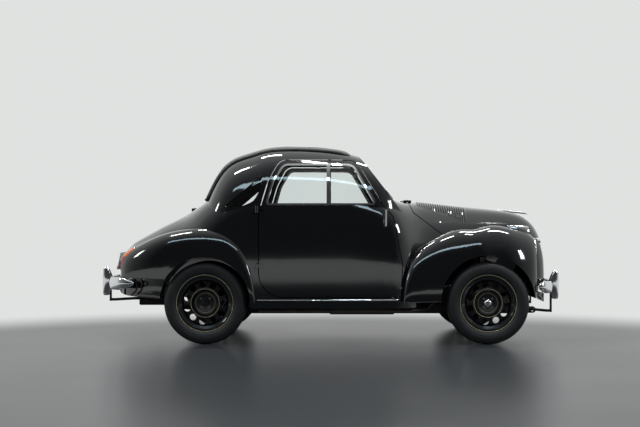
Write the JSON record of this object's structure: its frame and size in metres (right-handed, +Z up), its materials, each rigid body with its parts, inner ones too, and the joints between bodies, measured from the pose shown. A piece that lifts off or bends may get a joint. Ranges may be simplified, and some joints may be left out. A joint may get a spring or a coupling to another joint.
{
  "type": "two-seat city car",
  "caption": "Small two-door car of about 1950 with a fabric roll-top roof, rear-hinged doors, pontoon fenders, louvred bonnet and pressed disc wheels.",
  "frame": {"origin": "on the ground under the middle of the car's length and width, as it stands on its tyres", "axes": "+X towards the nose, +Y towards the car's left side, +Z up"},
  "size_m": [3.305, 1.288, 1.4226],
  "materials": {
    "body_paint": "gloss black coach paint with a faint blue cast",
    "wheel_paint": "gloss black enamel with thin cream lines",
    "chassis_paint": "satin black chassis paint",
    "dash_paint": "satin dark paint",
    "roof_cloth": "dark grey coated roof cloth",
    "seat_fabric": "grey-beige woven seat cloth",
    "clear_glass": "clear flat glass with a faint teal cast",
    "lamp_glass": "fluted clear lens",
    "red_lens": "red and amber lens",
    "bright_trim": "polished chrome plate",
    "plate_enamel": "plain blank plate",
    "cast_grey": "bare cast iron",
    "exhaust_steel": "aged steel",
    "wheel_bakelite": "black moulded rim",
    "tyre_rubber": "black rubber"
  },
  "bodies": {
    "root": {"chassis_frame": "chassis_paint", "floor_pan": "chassis_paint", "body_side_left": "body_paint", "body_side_right": "body_paint", "scuttle_and_header": "body_paint", "nose_panel": "body_paint", "tail_panel": "body_paint", "front_fenders": "body_paint", "rear_fenders": "body_paint", "soft_top": "roof_cloth", "fixed_windows": "clear_glass", "grille": "bright_trim", "front_lamps": "bright_trim", "headlamp_lenses": "lamp_glass", "tail_lamps": "red_lens", "front_bumper": "bright_trim", "rear_bumper": "bright_trim", "number_plates": "plate_enamel", "engine": "cast_grey", "exhaust": "exhaust_steel", "front_suspension": "chassis_paint", "rear_axle": "chassis_paint", "seat_frames": "chassis_paint", "seats": "seat_fabric", "dashboard": "dash_paint", "wipers": "bright_trim"},
    "door_left": {"door_left": "body_paint", "door_glass_left": "clear_glass", "door_trim_left": "bright_trim"},
    "door_right": {"door_right": "body_paint", "door_glass_right": "clear_glass", "door_trim_right": "bright_trim"},
    "bonnet": {"bonnet": "body_paint"},
    "boot_lid": {"boot_lid": "body_paint"},
    "steering_wheel": {"steering_wheel": "wheel_bakelite"},
    "knuckle_left": {"knuckle_left": "chassis_paint"},
    "knuckle_right": {"knuckle_right": "chassis_paint"},
    "wheel_front_left": {"wheel_front_left": "wheel_paint", "tyre_front_left": "tyre_rubber"},
    "wheel_front_right": {"wheel_front_right": "wheel_paint", "tyre_front_right": "tyre_rubber"},
    "wheel_rear_left": {"wheel_rear_left": "wheel_paint", "tyre_rear_left": "tyre_rubber"},
    "wheel_rear_right": {"wheel_rear_right": "wheel_paint", "tyre_rear_right": "tyre_rubber"}
  },
  "joints": [
    {"name": "door_left_hinge", "type": "hinge", "parent": "root", "child": "door_left", "pos_m": [-0.5185, 0.634, 0.7], "axis": [0, 0, 1], "range_deg": [0, 65]},
    {"name": "door_right_hinge", "type": "hinge", "parent": "root", "child": "door_right", "pos_m": [-0.5185, -0.634, 0.7], "axis": [0, 0, -1], "range_deg": [0, 65]},
    {"name": "bonnet_hinge", "type": "hinge", "parent": "root", "child": "bonnet", "pos_m": [0.5675, 0, 1.024], "axis": [0, -1, 0], "range_deg": [0, 50]},
    {"name": "boot_lid_hinge", "type": "hinge", "parent": "root", "child": "boot_lid", "pos_m": [-1.0075, 0, 0.964], "axis": [0, 1, 0], "range_deg": [0, 60]},
    {"name": "steer_left", "type": "hinge", "parent": "root", "child": "knuckle_left", "pos_m": [1.1125, 0.452, 0.292], "axis": [0, 0, 1], "range_deg": [-28, 28]},
    {"name": "steer_right", "type": "hinge", "parent": "root", "child": "knuckle_right", "pos_m": [1.1125, -0.452, 0.292], "axis": [0, 0, 1], "range_deg": [-28, 28]},
    {"name": "steering_wheel_turn", "type": "hinge", "parent": "root", "child": "steering_wheel", "pos_m": [0.2125, 0.232, 0.9], "axis": [-0.6157, 0, 0.788], "range_deg": [-392, 392]},
    {"name": "spin_front_left", "type": "hinge", "parent": "knuckle_left", "child": "wheel_front_left", "pos_m": [1.1125, 0.558, 0.292], "axis": [0, 1, 0], "continuous": true},
    {"name": "spin_front_right", "type": "hinge", "parent": "knuckle_right", "child": "wheel_front_right", "pos_m": [1.1125, -0.558, 0.292], "axis": [0, 1, 0], "continuous": true},
    {"name": "spin_rear_left", "type": "hinge", "parent": "root", "child": "wheel_rear_left", "pos_m": [-0.8875, 0.5415, 0.292], "axis": [0, 1, 0], "continuous": true},
    {"name": "spin_rear_right", "type": "hinge", "parent": "root", "child": "wheel_rear_right", "pos_m": [-0.8875, -0.5415, 0.292], "axis": [0, 1, 0], "continuous": true}
  ],
  "couplings": [
    {"joint": "steer_right", "follows": "steer_left", "ratio": 1},
    {"joint": "steering_wheel_turn", "follows": "steer_left", "ratio": 14}
  ]
}
